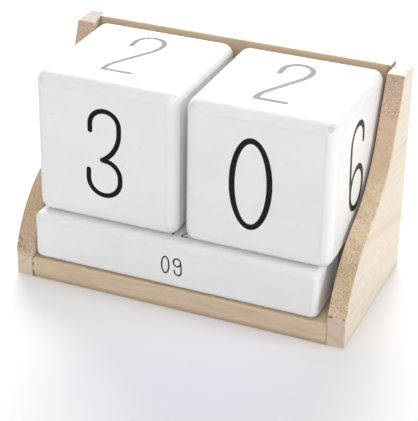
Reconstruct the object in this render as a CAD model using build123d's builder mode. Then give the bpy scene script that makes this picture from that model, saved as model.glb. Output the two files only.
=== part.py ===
from build123d import *

import os

# Wooden block calendar: an open pine stand with two numbered cubes over three month bars.
#
# Millimetres. +X runs to the right of someone reading the calendar, +Y away from them, +Z up.
# The origin is on the table, at the middle of the stand's footprint.

# ---- Day cubes ----
cube_size = 50.0
cube_edge_radius = 3.8
cube_side_gap = 1.1        # cube to cheek
cube_middle_gap = 2.4      # cube to cube
cube_front_step = 3.2      # front of the cubes, behind the front of the stand
cube_back_gap = 0.5        # cube to back board

# ---- Month bars ----
bar_names = ("front", "middle", "rear")
bar_gap = 0.8              # bar to bar, and rear bar to back board
bar_front_step = 0.3       # front of the front bar, behind the front of the stand
bar_left_gap = 0.6         # bar to left cheek
bar_right_gap = 3.5        # bar to right cheek
bar_edge_radius = 2.6

# ---- Boards of the stand ----
base_thickness = 7.5
cheek_thickness = 6.2
cheek_step = 0.1           # top of the cheeks, below the tops of the cubes
back_thickness = 5.7
back_rise = 0.9            # back board above the cheeks
board_easing = 0.5         # sanded edge of every board

# ---- Front edge of a cheek, from the foot up ----
foot_height = 10.0
belly_end = (22.0, 33.4)   # behind the front of the stand, above the table
belly_sagitta = 3.4
waist_end = (17.4, 19.0)   # ahead of the back of the stand, below the top of the cheek
cheek_top_depth = 10.2

# ---- Glued dowels inside the joints ----
dowel_diameter = 2.5
dowel_length = 12.0
dowel_in_face = 4.0        # depth of a dowel in the face of a board; the rest is in the end grain
dowel_glue_film = 0.05     # on the radius
dowel_end_room = 0.5       # air past each end of a dowel
dowel_inset = 14.0         # first dowel of a joint, from the end of that joint
back_dowel_pitch = 34.0    # dowels between back board and base

# ---- Painted numerals ----
ink_depth = 0.2
day_height = 30.0          # between the centre lines of the top and bottom strokes
left_day_stroke = 1.7
right_day_stroke = 2.0
month_height = 6.1
month_stroke = 0.55
month_pitch = 4.3          # first digit to second digit

# Which numeral each face of a cube carries, and how far its stencil sits off centre (right, up).
left_cube_faces = {
    "front": (3, (-0.1, 0.55)),
    "top": (2, (-0.7, 1.25)),
    "right": (4, (0, 0)),
    "left": (1, (0, 0)),
    "back": (0, (0, 0)),
    "bottom": (5, (0, 0)),
}
right_cube_faces = {
    "front": (0, (-2.25, 0.2)),
    "top": (2, (-0.4, 0.4)),
    "right": (6, (-2.4, 2.1)),
    "left": (8, (0, 0)),
    "back": (1, (0, 0)),
    "bottom": (7, (0, 0)),
}

# Months on the faces of each bar, in the order that rolling the bar backwards brings them up.
bar_face_order = ("front", "bottom", "rolled_back", "top")
first_month = {"front": 9, "middle": 5, "rear": 1}

# ---- Sizes that follow ----
inner_width = 2 * (cube_size + cube_side_gap) + cube_middle_gap
tray_depth = cube_front_step + cube_size + cube_back_gap
stand_width = inner_width + 2 * cheek_thickness
stand_depth = tray_depth + back_thickness
bar_section = (tray_depth - bar_front_step) / len(bar_names) - bar_gap
bar_length = inner_width - bar_left_gap - bar_right_gap
bar_floor_z = base_thickness
cube_floor_z = bar_floor_z + bar_section
cheek_height = cube_floor_z + cube_size - cheek_step
back_height = cheek_height + back_rise - base_thickness
back_board_y = stand_depth / 2 - back_thickness / 2
stand_front_y = -stand_depth / 2
dowel_radius = dowel_diameter / 2
bore_radius = dowel_radius + dowel_glue_film

os.makedirs("parts", exist_ok=True)


def save(part, name):
    """Label one finished piece and write it to its own file."""
    part.label = name
    export_step(part, f"parts/{name}.step")


# ---------------------------------------------------------------- numerals

# Each numeral is drawn upright about its own middle, in a frame where its strokes' centre lines
# run from -15 to 15. A stroke is a line of even width with round ends.
half = 15.0


def stroke(line, pen):
    """Turn a centre line into an inked stroke."""
    SlotArc(arc=Wire(line.edges()), height=pen)


def ring(x, y, x_radius, y_radius, pen):
    """Ink an oval closed stroke. It comes before any stroke that crosses it."""
    with Locations((x, y)):
        Ellipse(x_radius + pen / 2, y_radius + pen / 2)
        Ellipse(x_radius - pen / 2, y_radius - pen / 2, mode=Mode.SUBTRACT)


def digit_0(pen):
    ring(0, 0, 6.3, half, pen)


def digit_1(pen):
    with BuildLine() as stem:
        Polyline((-3.4, 10.4), (0.6, half), (0.6, -half))
    stroke(stem, pen)


def digit_2(pen):
    with BuildLine() as line:
        hook = Line((-5, 6.4), (-5, 10))
        crown = JernArc(hook @ 1, hook % 1, radius=5, arc_size=-180)
        shoulder = JernArc(crown @ 1, crown % 1, radius=13, arc_size=-30)
        diagonal = Line(shoulder @ 1, (-3.46, -8.5))
        heel = TangentArc(diagonal @ 1, (-5.1, -half), tangent=diagonal % 1)
        Line(heel @ 1, (4.8, -half))
    stroke(line, pen)


def digit_3(pen):
    with BuildLine() as top:
        hook = Line((-5.1, 7.6), (-5.1, 9.9))
        crown = JernArc(hook @ 1, hook % 1, radius=5.1, arc_size=-180)
        side = Line(crown @ 1, (5.1, 7.9))
        TangentArc(side @ 1, (-0.9, -2.4), tangent=side % 1)
    stroke(top, pen)
    with BuildLine() as bottom:
        waist = Line((-0.9, -2.4), (-0.2, -2.5))
        shoulder = JernArc(waist @ 1, (1, 0), radius=5.6, arc_size=-90)
        side = Line(shoulder @ 1, (5.4, -9.4))
        bowl = JernArc(side @ 1, side % 1, radius=5.6, arc_size=-180)
        Line(bowl @ 1, (-5.8, -6.5))
    stroke(bottom, pen)


def digit_4(pen):
    with BuildLine() as arm:
        Polyline((0.4, half), (-6.4, -5.4), (6.4, -5.4))
    stroke(arm, pen)
    with BuildLine() as stem:
        Line((2.8, 3), (2.8, -half))
    stroke(stem, pen)


def digit_5(pen):
    with BuildLine() as bowl:
        tail = Line((-5.6, -8), (-5.6, -9.4))
        curve = JernArc(tail @ 1, tail % 1, radius=5.6, arc_size=180)
        side = Line(curve @ 1, (5.6, -3.4))
        shoulder = JernArc(side @ 1, side % 1, radius=5.6, arc_size=90)
        TangentArc(shoulder @ 1, (-4.8, 0.9), tangent=shoulder % 1)
    stroke(bowl, pen)
    with BuildLine() as flag:
        Polyline((-4.8, 0.9), (-4.3, half), (4.9, half))
    stroke(flag, pen)


def digit_6(pen):
    ring(0.7, -7.9, 6.1, 7.1, pen)
    with BuildLine() as spine:
        hook = Line((5.3, 7.3), (5.1, 9.1))
        crown = JernArc(hook @ 1, (0, 1), radius=5.9, arc_size=180)
        TangentArc(crown @ 1, (-5.4, -7.9), tangent=crown % 1)
    stroke(spine, pen)


def digit_7(pen):
    with BuildLine() as line:
        bar = Line((-5.4, half), (5.4, half))
        SagittaArc(bar @ 1, (-1.8, -half), -1.6)
    stroke(line, pen)


def digit_8(pen):
    ring(0, 7.7, 5.2, 7.3, pen)
    ring(0, -7.3, 6.1, 7.7, pen)


def digit_9(pen):
    """Drawn as a six, which draw() turns half round."""
    digit_6(pen)


digits = (digit_0, digit_1, digit_2, digit_3, digit_4, digit_5, digit_6, digit_7, digit_8, digit_9)


def draw(number, height, pen):
    """The outline of one digit of the given height and stroke, about the origin."""
    unit = height / (2 * half)
    with BuildSketch() as outline:
        digits[number](pen / unit)
    half_turn = 180 if number == 9 else 0
    return outline.sketch.rotate(Axis.Z, half_turn).scale(unit)


def day_label(number, pen, shift):
    """A large numeral, moved by its stencil's shift."""
    return draw(number, day_height, pen).moved(Location((*shift, 0)))


def month_label(number):
    """A month as two small digits side by side."""
    first = draw(number // 10, month_height, month_stroke).moved(Location((-month_pitch / 2, 0)))
    second = draw(number % 10, month_height, month_stroke).moved(Location((month_pitch / 2, 0)))
    return first + second


def face_plane(face, centre, size):
    """The plane on one face of a block: its normal leaves the block, its Y is the numeral's up."""
    right, up = {
        "front": ((1, 0, 0), (0, 0, 1)),
        "back": ((-1, 0, 0), (0, 0, 1)),
        "rolled_back": ((1, 0, 0), (0, 0, -1)),
        "left": ((0, -1, 0), (0, 0, 1)),
        "right": ((0, 1, 0), (0, 0, 1)),
        "top": ((1, 0, 0), (0, 1, 0)),
        "bottom": ((1, 0, 0), (0, -1, 0)),
    }[face]
    normal = Vector(*right).cross(Vector(*up))
    reach = Vector(normal.X * size[0], normal.Y * size[1], normal.Z * size[2]) / 2
    return Plane(origin=Vector(*centre) + reach, x_dir=right, z_dir=normal)


def painted_block(centre, size, edge_radius, labels, name):
    """A rounded block with its numerals let into its faces, and each numeral as a thin inlay.

    labels holds a face's plane, its outline and the name of its numeral.
    """
    with BuildPart(Plane(origin=centre)) as block:
        Box(*size)
        fillet(block.edges(), edge_radius)
        for plane, outline, _ in labels:
            with BuildSketch(plane):
                add(outline)
            extrude(amount=-ink_depth, mode=Mode.SUBTRACT)
    save(block.part, name)
    for plane, outline, label_name in labels:
        with BuildPart() as ink:
            with BuildSketch(plane):
                add(outline)
            extrude(amount=-ink_depth)
        save(ink.part, f"{name}_{label_name}")


# ---------------------------------------------------------------- dowels


def cheek_joint(side, y, z):
    """The plane of a joint with a cheek (side -1 left, 1 right), facing into the other board."""
    return Plane(origin=(side * inner_width / 2, y, z), z_dir=(-side, 0, 0))


base_dowel_planes = [
    cheek_joint(side, y, base_thickness / 2)
    for side in (-1, 1)
    for y in (stand_front_y + dowel_inset, stand_front_y + stand_depth - dowel_inset)
]
back_dowel_planes = [
    cheek_joint(side, back_board_y, z)
    for side in (-1, 1)
    for z in (base_thickness + dowel_inset, cheek_height - dowel_inset)
]
foot_dowel_planes = [
    Plane(origin=(column * back_dowel_pitch, back_board_y, base_thickness), z_dir=(0, 0, 1))
    for column in (-1, 0, 1)
]


def bore(planes):
    """Drill the dowel holes of some joints, through both boards at once."""
    for plane in planes:
        with BuildSketch(plane.offset(-dowel_in_face - dowel_end_room)) as mouth:
            Circle(bore_radius)
        extrude(mouth.sketch, amount=dowel_length + 2 * dowel_end_room, mode=Mode.SUBTRACT)


def dowels(planes, name):
    """The dowels of some joints, as one group of separate pins."""
    with BuildPart() as pins:
        for plane in planes:
            with BuildSketch(plane.offset(-dowel_in_face)):
                Circle(dowel_radius)
            extrude(amount=dowel_length)
    save(pins.part, name)


dowels(base_dowel_planes, "base_dowels")
dowels(back_dowel_planes, "back_dowels")
dowels(foot_dowel_planes, "foot_dowels")

# ---------------------------------------------------------------- stand

# The base lies between the cheeks, and the back board stands on it.
base_low_corner = (-inner_width / 2, stand_front_y, 0)
with BuildPart(Plane(origin=base_low_corner)) as base_board:
    Box(inner_width, stand_depth, base_thickness, align=(Align.MIN, Align.MIN, Align.MIN))
    fillet(base_board.edges().filter_by(Axis.X), board_easing)
    bore(base_dowel_planes + foot_dowel_planes)
save(base_board.part, "base_board")

back_low_corner = (-inner_width / 2, stand_depth / 2 - back_thickness, base_thickness)
with BuildPart(Plane(origin=back_low_corner)) as back_board:
    Box(inner_width, back_thickness, back_height, align=(Align.MIN, Align.MIN, Align.MIN))
    top_edges = back_board.faces().sort_by(Axis.Z)[-1].edges().filter_by(Axis.X)
    fillet(top_edges, board_easing)
    bore(back_dowel_planes + foot_dowel_planes)
save(back_board.part, "back_board")


def cheek_outline():
    """A cheek seen from the side: an upright foot, a full belly, a hollow waist, a level top."""
    with BuildLine() as outline:
        foot = Line((0, 0), (0, foot_height))
        belly = SagittaArc(foot @ 1, belly_end, belly_sagitta)
        waist_top = (stand_depth - waist_end[0], cheek_height - waist_end[1])
        waist = TangentArc(belly @ 1, waist_top, tangent=belly % 1)
        neck = Line(waist @ 1, (stand_depth - cheek_top_depth, cheek_height))
        Polyline(neck @ 1, (stand_depth, cheek_height), (stand_depth, 0), (0, 0))
    make_face(outline.edges())


for cheek_name, inner_face_x, outward in (
    ("left_cheek", -inner_width / 2, -1),
    ("right_cheek", inner_width / 2, 1),
):
    side_plane = Plane(origin=(inner_face_x, stand_front_y, 0), x_dir=(0, 1, 0), z_dir=(1, 0, 0))
    with BuildPart() as cheek:
        with BuildSketch(side_plane):
            cheek_outline()
        extrude(amount=outward * cheek_thickness)
        fillet(cheek.faces().filter_by(Axis.X).edges(), board_easing)
        bore(base_dowel_planes + back_dowel_planes)
    save(cheek.part, cheek_name)

# ---------------------------------------------------------------- day cubes

cube_box = (cube_size, cube_size, cube_size)
cube_centre_x = (cube_middle_gap + cube_size) / 2
cube_centre_y = stand_front_y + cube_front_step + cube_size / 2
cube_centre_z = cube_floor_z + cube_size / 2
for cube_name, cube_x, cube_faces, pen in (
    ("left_cube", -cube_centre_x, left_cube_faces, left_day_stroke),
    ("right_cube", cube_centre_x, right_cube_faces, right_day_stroke),
):
    cube_centre = (cube_x, cube_centre_y, cube_centre_z)
    cube_labels = [
        (face_plane(face, cube_centre, cube_box), day_label(number, pen, shift), f"numeral_{number}")
        for face, (number, shift) in cube_faces.items()
    ]
    painted_block(cube_centre, cube_box, cube_edge_radius, cube_labels, cube_name)

# ---------------------------------------------------------------- month bars

bar_box = (bar_length, bar_section, bar_section)
bar_centre_x = -inner_width / 2 + bar_left_gap + bar_length / 2
bar_centre_z = bar_floor_z + bar_section / 2
for row, bar_name in enumerate(bar_names):
    bar_front_y = stand_front_y + bar_front_step + row * (bar_section + bar_gap)
    bar_centre = (bar_centre_x, bar_front_y + bar_section / 2, bar_centre_z)
    bar_labels = [
        (face_plane(face, bar_centre, bar_box), month_label(month), f"numeral_{month:02d}")
        for month, face in enumerate(bar_face_order, start=first_month[bar_name])
    ]
    painted_block(bar_centre, bar_box, bar_edge_radius, bar_labels, f"{bar_name}_month_bar")
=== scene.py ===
import math
from collections import namedtuple

import bpy
from mathutils import Euler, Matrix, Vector


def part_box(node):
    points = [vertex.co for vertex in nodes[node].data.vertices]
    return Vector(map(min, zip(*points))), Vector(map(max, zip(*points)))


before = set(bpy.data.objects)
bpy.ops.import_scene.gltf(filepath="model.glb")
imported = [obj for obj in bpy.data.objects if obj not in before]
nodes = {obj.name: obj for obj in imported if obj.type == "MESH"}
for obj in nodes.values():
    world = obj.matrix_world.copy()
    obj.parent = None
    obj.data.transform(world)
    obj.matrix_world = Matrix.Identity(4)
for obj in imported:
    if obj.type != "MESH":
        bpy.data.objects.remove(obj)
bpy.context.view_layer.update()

MM = 0.001
ALONG_X, ALONG_Y, ALONG_Z = (1, 0, 0), (0, 1, 0), (0, 0, 1)

# ---------------------------------------------------------------- node trees


class Finish:
    """One material, and short calls for the nodes that the finishes here are made of."""

    def __init__(self, name):
        self.material = bpy.data.materials.new(name)
        self.material.use_nodes = True
        self.tree = self.material.node_tree
        self.shader = self.tree.nodes["Principled BSDF"]
        coords = self.add("ShaderNodeTexCoord")
        self.place = self.scaled(coords.outputs["Object"], 1 / MM)
        self.normal = coords.outputs["Normal"]

    def put(self, socket, value):
        """Link a socket to another node's output, or set its own value."""
        if isinstance(value, bpy.types.NodeSocket):
            self.tree.links.new(value, socket)
        else:
            socket.default_value = value

    def add(self, kind, inputs=None, **settings):
        """A new node. inputs maps a socket's name or number to a value or an output."""
        node = self.tree.nodes.new(kind)
        for key, value in settings.items():
            setattr(node, key, value)
        for key, value in (inputs or {}).items():
            self.put(node.inputs[key], value)
        return node

    def math(self, operation, a, b=0.0):
        return self.add("ShaderNodeMath", {0: a, 1: b}, operation=operation).outputs[0]

    def vector(self, operation, a, b=(0, 0, 0)):
        return self.add("ShaderNodeVectorMath", {0: a, 1: b}, operation=operation).outputs["Vector"]

    def scaled(self, vector, factor):
        node = self.add("ShaderNodeVectorMath", {0: vector, "Scale": factor}, operation="SCALE")
        return node.outputs["Vector"]

    def dot(self, a, b):
        node = self.add("ShaderNodeVectorMath", {0: a, 1: b}, operation="DOT_PRODUCT")
        return node.outputs["Value"]

    def length(self, vector):
        return self.add("ShaderNodeVectorMath", {0: vector}, operation="LENGTH").outputs["Value"]

    def in_frame(self, vector, origin, turn):
        """The same point seen from a frame with its own origin and turn, in degrees."""
        angles = tuple(math.radians(angle) for angle in turn)
        inputs = {"Vector": vector, "Location": origin, "Rotation": angles}
        return self.add("ShaderNodeMapping", inputs, vector_type="TEXTURE").outputs["Vector"]

    def noise(self, vector, scale, detail=2.0, roughness=0.5, output="Fac"):
        inputs = {"Vector": vector, "Scale": scale, "Detail": detail, "Roughness": roughness}
        return self.add("ShaderNodeTexNoise", inputs).outputs[output]

    def cells(self, vector, scale):
        """Distance to the nearest of many scattered points, and a random value for each."""
        made = self.add("ShaderNodeTexVoronoi", {"Vector": vector, "Scale": scale})
        return made.outputs["Distance"], made.outputs["Color"]

    def part(self, vector, axis):
        """One component of a vector or colour: X, Y or Z."""
        return self.add("ShaderNodeSeparateXYZ", {0: vector}).outputs[axis]

    def ramp(self, value, *stops, smooth=False):
        """A value or colour that runs through the stops, each a position and a shade."""
        node = self.add("ShaderNodeValToRGB", {0: value})
        node.color_ramp.interpolation = "EASE" if smooth else "LINEAR"
        elements = node.color_ramp.elements
        while len(elements) < len(stops):
            elements.new(0.5)
        for element, (position, shade) in zip(elements, stops):
            colour = shade if isinstance(shade, tuple) else (shade, shade, shade)
            element.position = position
            element.color = (*colour, 1)
        return node.outputs["Color"]

    def mix(self, factor, a, b, blend="MIX"):
        node = self.add("ShaderNodeMix", data_type="RGBA", blend_type=blend)
        for index, value in ((0, factor), (6, a), (7, b)):
            self.put(node.inputs[index], (*value, 1) if isinstance(value, tuple) else value)
        return node.outputs[2]

    def bump(self, height, depth_mm, under=None):
        """Relief of the given depth. under is a coarser relief below it."""
        inputs = {"Height": height, "Distance": depth_mm * MM}
        if under is not None:
            inputs["Normal"] = under
        return self.add("ShaderNodeBump", inputs).outputs["Normal"]

    def finish(self, colour, roughness, relief=None, specular=0.5):
        self.put(self.shader.inputs["Base Color"], colour)
        self.put(self.shader.inputs["Roughness"], roughness)
        self.shader.inputs["Specular IOR Level"].default_value = specular
        if relief is not None:
            self.put(self.shader.inputs["Normal"], relief)
        return self.material


# ---------------------------------------------------------------- pine

CREAM = (0.80, 0.72, 0.615)
STRAW = (0.74, 0.60, 0.42)
BISCUIT = (0.61, 0.48, 0.34)
TAN = (0.64, 0.48, 0.33)
OCHRE = (0.585, 0.45, 0.30)
RUST = (0.58, 0.395, 0.26)
CLAY = (0.615, 0.46, 0.355)
ROSE = (0.72, 0.575, 0.45)
SAND = (0.735, 0.63, 0.50)
# The next two colours are painted light on faces that look up: a painted highlight, and painted shade.
LIT_TOP = (0.88, 0.82, 0.73)
SHADED_TOP = (0.56, 0.465, 0.375)
UMBER = (0.24, 0.15, 0.09)
PITCH = (0.05, 0.035, 0.025)

# How fine each pattern in the wood is: features in a millimetre, across the grain and along it.
# A minus sign mirrors a pattern, so that it differs from one of the same kind.
FIBRES, STREAKS = (2.6, 0.06), (0.45, 0.010)
SPECKS, FLECKS = (2.5, 0.40), (-1.9, 0.30)
PORES = (1.7, 0.14)

RING_DRIFT = 6.0           # how far the growth rings wander, in millimetres
MARK_WAVER = 1.0           # how far the marks on a board wander

# A band where a plane cuts the wood: a real mark, such as a late ring, a crack or a glue line, or a
# band of painted shade in a corner or along a rounded edge. across is the plane's normal. breaks is
# the share of the mark that is missing, in pieces a millimetre or two long. below is the height that
# the mark reaches, where it stops short of the top. Lengths are in millimetres.
MarkOrShade = namedtuple("MarkOrShade", "point across half_width shade strength breaks below", defaults=(0.0, None))


class Pine(Finish):
    """Bare pine cut from a log: growth rings round the pith, fibres along the grain.

    pith is a point on the log's middle line, in millimetres, and turn leads the log's own frame,
    whose Y is the grain, from the row frame.
    """

    def __init__(self, name, pith, turn, ring_width):
        super().__init__(name)
        slow = self.vector("MULTIPLY", self.place, (0.05, 0.03, 0.05))
        drifted = self.vector("ADD", self.place, self.wander(slow, 1.0, 1.0, RING_DRIFT))
        self.log = self.in_frame(drifted, pith, turn)
        self.wavy = self.vector("ADD", self.place, self.wander(self.place, 0.35, 2.0, MARK_WAVER))
        self.late = self.late_wood(ring_width)
        self.fibres = self.grain_noise(FIBRES, 3.0, 0.6)
        self.specks = self.grain_noise(SPECKS, 2.0, 0.75)
        self.pore = self.open_pores()

    def wander(self, vector, scale, detail, reach):
        """A random shift that changes slowly from place to place."""
        shift = self.noise(vector, scale, detail, output="Color")
        return self.scaled(self.vector("SUBTRACT", shift, (0.5, 0.5, 0.5)), reach)

    def along_grain(self, fineness):
        """Coordinates for a pattern that is drawn out along the grain."""
        across, along = fineness
        return self.vector("MULTIPLY", self.log, (across, along, across))

    def grain_noise(self, fineness, detail, roughness):
        return self.noise(self.along_grain(fineness), 1.0, detail, roughness)

    def late_wood(self, ring_width):
        """How dark each place in a growth ring is, from 0 to 1. Some years are darker than others."""
        radius = self.length(self.vector("MULTIPLY", self.log, (1, 0, 1)))
        age = self.math("DIVIDE", radius, ring_width)
        season = self.math("FRACT", age)
        year = self.add("ShaderNodeTexWhiteNoise", {"W": self.math("FLOOR", age)}, noise_dimensions="1D")
        late = self.ramp(season, (0.0, 0.10), (0.50, 0.15), (0.90, 1.0), (1.0, 0.10), smooth=True)
        return self.math("MULTIPLY", late, self.ramp(year.outputs["Value"], (0.1, 0.25), (0.9, 1.0)))

    def open_pores(self):
        """1 in the middle of a pore that is cut open, 0 away from them all."""
        away, kind = self.cells(self.along_grain(PORES), 1.0)
        is_open = self.ramp(self.part(kind, "X"), (0.50, 0.0), (0.60, 1.0))
        return self.math("MULTIPLY", self.ramp(away, (0.14, 1.0), (0.34, 0.0)), is_open)

    def add_marks_and_shade(self, colour, marks_and_shade):
        for mark_or_shade in marks_and_shade:
            from_point = self.vector("SUBTRACT", self.wavy, mark_or_shade.point)
            offset = self.math("ABSOLUTE", self.dot(from_point, mark_or_shade.across))
            offset = self.math("DIVIDE", offset, mark_or_shade.half_width)
            line = self.ramp(offset, (0.25, 1.0), (1.0, 0.0), smooth=True)
            if mark_or_shade.breaks:
                gap_level = 0.3 + 0.3 * mark_or_shade.breaks
                kept = self.ramp(self.noise(self.place, 0.8, 1.0), (gap_level, 0.0), (gap_level + 0.12, 1.0))
                line = self.math("MULTIPLY", line, kept)
            if mark_or_shade.below is not None:
                is_below = self.math("LESS_THAN", self.part(self.place, "Z"), mark_or_shade.below)
                line = self.math("MULTIPLY", line, is_below)
            colour = self.mix(self.math("MULTIPLY", line, mark_or_shade.strength), colour, mark_or_shade.shade)
        return colour

    def side_grain(self, shades, contrast, marks_and_shade, top):
        """The colour of a face along the grain."""
        early, later = shades
        tone = self.ramp(self.grain_noise(STREAKS, 2.0, 0.5), (0.36, 0.0), (0.66, 1.0))
        colour = self.mix(self.math("MULTIPLY", tone, contrast), early, later)
        colour = self.mix(self.math("MULTIPLY", self.late, contrast / 2), colour, later)
        fibre_tone = self.ramp(self.fibres, (0.30, 0.90), (0.50, 1.0), (0.70, 1.04))
        colour = self.mix(1.0, colour, fibre_tone, "MULTIPLY")
        colour = self.mix(self.math("MULTIPLY", self.pore, 0.05), colour, UMBER)
        colour = self.add_marks_and_shade(colour, marks_and_shade)
        # Painted light: faces that look up take the top colour, a painted highlight or painted shade.
        if top is not None:
            faces_up = self.ramp(self.part(self.normal, "Z"), (0.80, 0.0), (0.95, 1.0))
            speckled = self.ramp(self.specks, (0.36, 0.55), (0.50, 1.0))
            colour = self.mix(faces_up, colour, self.mix(1.0, top, speckled, "MULTIPLY"))
        return colour

    def end_grain(self, figure, marks_and_shade):
        """The colour of a face across the grain."""
        top_level = figure[-1][0]
        height = self.math("DIVIDE", self.part(self.wavy, "Z"), top_level)
        colour = self.ramp(height, *((level / top_level, shade) for level, shade, _ in figure))
        pores = self.ramp(height, *((level / top_level, amount) for level, _, amount in figure))
        colour = self.mix(self.math("MULTIPLY", self.late, 0.42), colour, RUST)
        dark_specks = self.ramp(self.specks, (0.34, (0.56, 0.46, 0.37)), (0.47, (0.94, 0.91, 0.88)),
                                (0.62, (1.04, 1.04, 1.04)))
        light_flecks = self.ramp(self.grain_noise(FLECKS, 2.0, 0.7), (0.42, 0.94), (0.66, 1.20))
        grainy = self.mix(pores, (1, 1, 1), self.mix(1.0, dark_specks, light_flecks, "MULTIPLY"))
        colour = self.mix(1.0, colour, grainy, "MULTIPLY")
        pore_strength = self.math("MULTIPLY", self.math("POWER", pores, 2.0), 0.85)
        colour = self.mix(self.math("MULTIPLY", self.pore, pore_strength), colour, UMBER)
        return self.add_marks_and_shade(colour, marks_and_shade)


def pine(name, grain, pith, turn, ring_width, side, contrast, figure,
         side_marks_and_shade=(), end_marks_and_shade=(), top=None):
    """The finish of one board. grain is the direction of its fibres, as a unit vector.

    side holds the early and late colours of a face along the grain, and contrast says how much the
    late one shows. figure says how the end grain changes up the board: a height, a colour and how
    many open pores there are, from 0 to 1. The marks on the faces along and across the grain are
    real marks, and some are bands of painted shade. top is a colour painted on the faces that look
    straight up: a painted highlight where the top is lit, painted shade where it is not.
    """
    wood = Pine(name, pith, turn, ring_width)
    side_colour = wood.side_grain(side, contrast, side_marks_and_shade, top)
    end_colour = wood.end_grain(figure, end_marks_and_shade)
    cut = wood.math("ABSOLUTE", wood.dot(wood.normal, grain))
    end = wood.ramp(cut, (0.18, 0.0), (0.50, 1.0), smooth=True)
    colour = wood.mix(end, side_colour, end_colour)

    grit = wood.mix(end, wood.fibres, wood.specks)
    grit = wood.math("SUBTRACT", grit, wood.math("MULTIPLY", wood.pore, 0.8))
    side_rough = wood.ramp(wood.fibres, (0.3, 0.66), (0.7, 0.52))
    rough = wood.math("MAXIMUM", side_rough, wood.math("MULTIPLY", end, 0.75))
    return wood.finish(colour, rough, wood.bump(grit, 0.035), specular=0.35)


# ---------------------------------------------------------------- paint and ink

EDGE_RADIUS = {"cube": 3.8, "bar": 2.6}    # millimetres, of the blocks' rounded edges
MATT_WHITE = (0.875, 0.872, 0.868), (0.905, 0.905, 0.907)
# Grey for a painted shade line where a block's faces start to round off.
SHADE_LINE_GREY = (0.62, 0.61, 0.59)
BARE = (0.52, 0.50, 0.47)

# A small worn place: its middle and radius in millimetres, and how much of the paint is gone.
Chip = namedtuple("Chip", "point radius gone")


def past_flat(coat, node):
    """How far each point is past the flat of its face, in millimetres: on an edge and at a corner.

    The first is above zero on a rounded edge, and the second only on a rounded corner.
    """
    low, high = (Vector(corner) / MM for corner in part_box(node))
    radius = EDGE_RADIUS["cube" if "cube" in node else "bar"]
    flat = (high - low) / 2 - Vector((radius, radius, radius))
    from_middle = coat.vector("ABSOLUTE", coat.vector("SUBTRACT", coat.place, tuple((low + high) / 2)))
    past = coat.vector("SUBTRACT", from_middle, tuple(flat))
    x, y, z = (coat.part(past, axis) for axis in "XYZ")
    less, more = coat.math("MINIMUM", x, y), coat.math("MAXIMUM", x, y)
    # The middle one of the three is below zero on a flat face and above it on a rounded edge.
    edge = coat.math("MAXIMUM", less, coat.math("MINIMUM", more, z))
    corner = coat.math("MINIMUM", less, z)
    return edge, corner


def shade_line_and_worn_corners(coat, colour, edge, corner, mottle, patches):
    """A faint line of painted shade where each face starts to round off, and paint worn thin at the corners.
    """
    from_shade_line = coat.math("ABSOLUTE", coat.math("SUBTRACT", edge, 0.2))
    shade_line = coat.ramp(from_shade_line, (0.0, 1.0), (0.9, 0.0), smooth=True)
    shade_line = coat.math("MULTIPLY", shade_line, coat.ramp(mottle, (0.35, 0.3), (0.65, 1.0)))
    colour = coat.mix(coat.math("MULTIPLY", shade_line, 0.09), colour, SHADE_LINE_GREY)
    at_corner = coat.ramp(corner, (0.0, 0.0), (0.9, 1.0))
    worn = coat.math("MULTIPLY", at_corner, coat.ramp(patches, (0.50, 0.0), (0.62, 1.0)))
    return coat.mix(coat.math("MULTIPLY", worn, 0.35), colour, BARE)


def add_chips(coat, colour, chips, patches):
    """The colour with scattered specks and the given chips, and how deep they go, from 0 to 1."""
    away, kind = coat.cells(coat.place, 0.16)
    is_speck = coat.ramp(coat.part(kind, "X"), (0.76, 0.0), (0.80, 1.0))
    speck = coat.math("MULTIPLY", coat.ramp(away, (0.03, 1.0), (0.065, 0.0)), is_speck)
    colour = coat.mix(coat.math("MULTIPLY", speck, 0.45), colour, BARE)
    depth = coat.math("MULTIPLY", speck, 0.4)
    for chip in chips:
        away = coat.length(coat.vector("SUBTRACT", coat.place, chip.point))
        away = coat.math("DIVIDE", away, chip.radius)
        ragged = coat.math("ADD", away, coat.math("MULTIPLY", patches, 0.9))
        missing = coat.ramp(ragged, (0.75, 1.0), (1.5, 0.0), smooth=True)
        colour = coat.mix(coat.math("MULTIPLY", missing, chip.gone), colour, BARE)
        depth = coat.math("MAXIMUM", depth, missing)
    return colour, depth


def brushed_relief(coat, edge, patches, chip_depth):
    """Slow swells, thick uneven paint along the edges, and a fine texture with the chips cut in."""
    swell = coat.noise(coat.place, 0.12, 1.0)
    edge_coat = coat.math("MULTIPLY", patches, coat.ramp(edge, (0.0, 0.15), (0.8, 1.0)))
    texture = coat.noise(coat.place, 1.4, 3.0, 0.6)
    texture = coat.math("SUBTRACT", texture, coat.math("MULTIPLY", chip_depth, 8.0))
    relief = coat.bump(swell, 0.08)
    relief = coat.bump(edge_coat, 0.30, under=relief)
    return coat.bump(texture, 0.012, under=relief)


def paint(name, node, chips=()):
    """Matt white paint over a sanded block, thick and uneven along the edges of its faces."""
    coat = Finish(name)
    edge, corner = past_flat(coat, node)
    mottle = coat.noise(coat.place, 0.09, 3.0, 0.55)
    patches = coat.noise(coat.place, 0.45, 3.0, 0.6)
    colour = coat.ramp(mottle, (0.30, MATT_WHITE[0]), (0.70, MATT_WHITE[1]))
    colour = shade_line_and_worn_corners(coat, colour, edge, corner, mottle, patches)
    colour, chip_depth = add_chips(coat, colour, chips, patches)
    relief = brushed_relief(coat, edge, patches, chip_depth)
    rough = coat.ramp(mottle, (0.3, 0.42), (0.7, 0.5))
    return coat.finish(colour, rough, relief, specular=0.5)


def ink(name, thin, full):
    """Black ink with a dry, broken cover: its shade where it lies thin and where it is full."""
    film = Finish(name)
    cover = film.noise(film.place, 1.9, 3.0, 0.7)
    colour = film.ramp(cover, (0.34, full), (0.66, thin))
    rough = film.ramp(cover, (0.34, 0.14), (0.62, 0.30))
    relief = film.bump(cover, 0.03)
    return film.finish(colour, rough, relief, specular=0.1)


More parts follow.
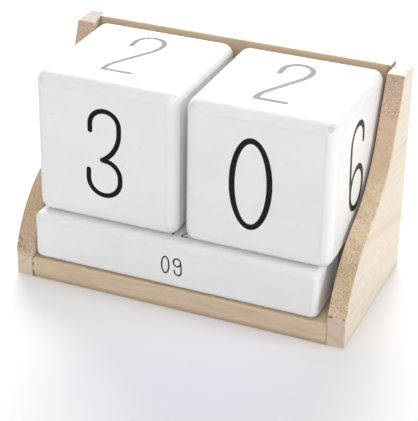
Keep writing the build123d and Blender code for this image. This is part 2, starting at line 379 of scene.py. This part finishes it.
# ---------------------------------------------------------------- what each part is made of


def inner_face(name, side):
    """Where a cheek meets the boards between the cheeks. side is -1 on the left, 1 on the right."""
    low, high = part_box(name)
    return (high if side < 0 else low)[0] / MM


LEFT_INNER, RIGHT_INNER = inner_face("left_cheek", -1), inner_face("right_cheek", 1)
BASE_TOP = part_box("base_board")[1].z / MM
BACK_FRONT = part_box("back_board")[0].y / MM
CUBE_FRONT, CUBE_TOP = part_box("right_cube")[0].y / MM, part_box("right_cube")[1].z / MM
CUBE_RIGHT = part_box("right_cube")[1].x / MM

LEFT_FIGURE = (
    (0, SAND, 0.25), (6.2, SAND, 0.30), (7.6, STRAW, 0.9), (9.5, BISCUIT, 1.0), (13.5, BISCUIT, 1.0),
    (16, OCHRE, 0.6), (24, OCHRE, 0.85), (34, BISCUIT, 0.7), (60, TAN, 0.8), (76, CLAY, 0.7))
RIGHT_FIGURE = (
    (0, ROSE, 0.08), (10.2, ROSE, 0.12), (11.0, STRAW, 0.95), (24, TAN, 1.0), (31, STRAW, 0.8),
    (42, STRAW, 0.6), (45, TAN, 0.40), (60, TAN, 0.45), (62, CLAY, 1.0), (76, CLAY, 1.0))
EVEN_FIGURE = ((0, STRAW, 0.4), (76, STRAW, 0.4))

pines = {
    "base_board": pine(
        "pine_base", ALONG_X, pith=(0, -22, -34), turn=(0, 1.0, -90), ring_width=2.6,
        side=(STRAW, TAN), contrast=0.75, figure=EVEN_FIGURE,
        side_marks_and_shade=(
            # Painted shade: a tan band and a brown one darken the front towards its rounded bottom edge.
            MarkOrShade((0, 0, -0.4), ALONG_Z, 3.0, TAN, 1.0),
            MarkOrShade((0, 0, -0.4), ALONG_Z, 2.2, UMBER, 0.35),
            MarkOrShade((LEFT_INNER, 0, 0), ALONG_X, 0.35, PITCH, 0.9, breaks=0.4))),
    "back_board": pine(
        "pine_back", ALONG_X, pith=(0, 70, 30), turn=(0, -1.5, -90), ring_width=3.1,
        side=(BISCUIT, TAN), contrast=0.8, figure=EVEN_FIGURE,
        side_marks_and_shade=(
            # Painted shade: brown bands on the board beside each cheek, in the shaded corners.
            MarkOrShade((LEFT_INNER, 0, 0), ALONG_X, 1.5, UMBER, 0.5),
            MarkOrShade((RIGHT_INNER, 0, 0), ALONG_X, 2.2, UMBER, 0.5)),
        # Painted shade: the end that shows above the right cheek is darkened like the shadow in that gap.
        end_marks_and_shade=(MarkOrShade((RIGHT_INNER, 0, 0), ALONG_X, 0.8, UMBER, 0.6),),
        top=LIT_TOP),
    "left_cheek": pine(
        "pine_left", ALONG_Y, pith=(-20, 0, -50), turn=(-6, 0, 2), ring_width=4.6,
        side=(CREAM, STRAW), contrast=0.35, figure=LEFT_FIGURE,
        # Painted shade: a brown band on the cheek where the back board meets it, in the shaded corner.
        side_marks_and_shade=(MarkOrShade((0, BACK_FRONT, 0), ALONG_Y, 3.0, UMBER, 0.55),),
        end_marks_and_shade=(
            MarkOrShade((LEFT_INNER, 0, 0), ALONG_X, 0.7, PITCH, 0.85, breaks=0.45, below=BASE_TOP),
            MarkOrShade((0, 0, 12.0), ALONG_Z, 3.2, UMBER, 0.75, breaks=0.8)),
        top=SHADED_TOP),
    "right_cheek": pine(
        "pine_right", ALONG_Y, pith=(35, 0, -42), turn=(-8, 0, -2), ring_width=5.2,
        side=(CREAM, STRAW), contrast=0.35, figure=RIGHT_FIGURE,
        side_marks_and_shade=(
            MarkOrShade((0, 12.5, 49.6), (0, 0.09, 0.996), 0.30, UMBER, 0.5, breaks=0.1),
            MarkOrShade((0, 20, 22), (0, 0.24, 0.97), 2.6, ROSE, 0.6)),
        end_marks_and_shade=(
            MarkOrShade((0, 0, 10.6), ALONG_Z, 0.5, UMBER, 0.85, breaks=0.45),
            MarkOrShade((RIGHT_INNER, 0, 0), ALONG_X, 0.5, UMBER, 0.5, breaks=0.8, below=BASE_TOP)),
        top=LIT_TOP),
}
dowel_wood = pine(
    "beech_dowel", ALONG_X, pith=(0, 0, 0), turn=(0, 0, -90), ring_width=1.5,
    side=(TAN, RUST), contrast=0.6, figure=EVEN_FIGURE)

paints = {
    "left_cube": paint("paint_left_cube", "left_cube"),
    "right_cube": paint("paint_right_cube", "right_cube", chips=(
        Chip((CUBE_RIGHT - 2.6, CUBE_FRONT + 1.0, CUBE_TOP - 1.2), 2.3, 0.55),
        Chip((CUBE_RIGHT - 4.7, CUBE_FRONT + 44.2, CUBE_TOP), 0.9, 0.5),
        Chip((CUBE_RIGHT - 11.0, CUBE_FRONT, CUBE_TOP - 35.3), 0.5, 0.35),
        Chip((CUBE_RIGHT - 15.7, CUBE_FRONT, CUBE_TOP - 15.4), 0.5, 0.2))),
}
for bar in ("front", "middle", "rear"):
    paints[f"{bar}_month_bar"] = paint(f"paint_{bar}_bar", f"{bar}_month_bar")

inks = {
    "left_cube": ink("ink_left_cube", (0.010, 0.010, 0.011), (0.002, 0.002, 0.002)),
    "right_cube": ink("ink_right_cube", (0.018, 0.018, 0.019), (0.005, 0.005, 0.005)),
    "month_bar": ink("ink_bars", (0.030, 0.030, 0.032), (0.010, 0.010, 0.011)),
}


def material_of(name):
    """The material of a CAD node. A printed numeral has the ink of the block that carries it."""
    if "numeral" in name:
        return next(film for block, film in inks.items() if block in name)
    if name.endswith("_dowels"):
        return dowel_wood
    return (pines | paints)[name]


for name, node in nodes.items():
    node.data.materials.clear()
    node.data.materials.append(material_of(name))

# ---------------------------------------------------------------- floor, light and camera

FLOOR_WHITE = (0.875, 0.875, 0.885)
# Painted light on the floor: a cool shadow tint before the object, and a paler lit area to its right.
FLOOR_SHADOW_TINT = (0.872, 0.868, 0.935)
FLOOR_LIT_AREA = (0.98, 0.98, 0.98)
FLOOR_REACH = 4.0                               # metres each way from the origin
SHADOW_TINT_MIDDLE, SHADOW_TINT_REACH = (25, -68, 0), 60.0     # millimetres
LIT_AREA_FROM, LIT_AREA_REACH = 55.0, 40.0              # millimetres to the right

CAMERA_PLACE = Vector((0.1748, -0.43197, 0.27332))
CAMERA_YAW, CAMERA_PITCH, CAMERA_ROLL = 22.09, -28.31, 1.07
CAMERA_LENS = 134.02

LIGHT_DISTANCE = 1.6
SKY_COLOUR, SKY_STRENGTH = (0.985, 0.985, 1.0, 1), 0.395


def floor_material():
    """Nearly white, with a painted cool shadow tint in a patch before the object and a painted lit area,
    paler, to its right.
    """
    ground = Finish("floor")
    unevenness = ground.math("MULTIPLY", ground.noise(ground.place, 0.02, 2.0), 0.1)
    from_shadow_tint = ground.length(ground.vector("SUBTRACT", ground.place, SHADOW_TINT_MIDDLE))
    from_shadow_tint = ground.math("ADD", ground.math("DIVIDE", from_shadow_tint, SHADOW_TINT_REACH), unevenness)
    colour = ground.ramp(from_shadow_tint, (0.2, FLOOR_SHADOW_TINT), (0.9, FLOOR_WHITE), smooth=True)
    # Painted light: the floor is paler to the object's right.
    past_edge = ground.math("SUBTRACT", ground.part(ground.place, "X"), LIT_AREA_FROM)
    past_edge = ground.math("DIVIDE", past_edge, LIT_AREA_REACH)
    lit_area = ground.ramp(past_edge, (0.0, 0.0), (1.0, 1.0), smooth=True)
    return ground.finish(ground.mix(lit_area, colour, FLOOR_LIT_AREA), 0.6, specular=0.3)


def add_floor():
    mesh = bpy.data.meshes.new("floor")
    corners = [(x * FLOOR_REACH, y * FLOOR_REACH, 0) for x, y in ((-1, -1), (1, -1), (1, 1), (-1, 1))]
    mesh.from_pydata(corners, [], [(0, 1, 2, 3)])
    mesh.materials.append(floor_material())
    floor = bpy.data.objects.new("floor", mesh)
    bpy.context.scene.collection.objects.link(floor)


def add_camera():
    data = bpy.data.cameras.new("camera")
    data.lens = CAMERA_LENS
    camera = bpy.data.objects.new("camera", data)
    camera.location = CAMERA_PLACE
    aim = Euler((math.radians(90 + CAMERA_PITCH), 0, math.radians(CAMERA_YAW))).to_matrix()
    roll = Euler((0, 0, math.radians(CAMERA_ROLL))).to_matrix()
    camera.rotation_euler = (aim @ roll).to_euler()
    bpy.context.scene.collection.objects.link(camera)
    bpy.context.scene.camera = camera


def add_sky():
    """Even white light from all round."""
    world = bpy.data.worlds.new("world")
    world.use_nodes = True
    background = world.node_tree.nodes["Background"]
    background.inputs["Color"].default_value = SKY_COLOUR
    background.inputs["Strength"].default_value = SKY_STRENGTH
    bpy.context.scene.world = world


def softbox(name, azimuth, elevation, width, height, radiance):
    """A soft rectangular light that looks at the object. Azimuth 0 is in front, 90 to the right."""
    data = bpy.data.lights.new(name, "AREA")
    data.shape = "RECTANGLE"
    data.size, data.size_y = width, height
    data.energy = radiance * math.pi * width * height
    light = bpy.data.objects.new(name, data)
    turn, lift = math.radians(azimuth), math.radians(elevation)
    away = Vector((math.sin(turn) * math.cos(lift), -math.cos(turn) * math.cos(lift), math.sin(lift)))
    light.location = away * LIGHT_DISTANCE
    light.rotation_euler = away.to_track_quat("Z", "Y").to_euler()
    light.visible_camera = False
    bpy.context.scene.collection.objects.link(light)


add_floor()
add_camera()
add_sky()
softbox("back_light", azimuth=206, elevation=31, width=1.3, height=0.4, radiance=14.5)
softbox("right_light", azimuth=98, elevation=20, width=0.8, height=0.6, radiance=4.9)
softbox("top_light", azimuth=0, elevation=88, width=0.8, height=0.6, radiance=4.0)
softbox("front_light", azimuth=20, elevation=28, width=0.8, height=0.6, radiance=4.0)
bpy.context.scene.view_settings.view_transform = "Standard"
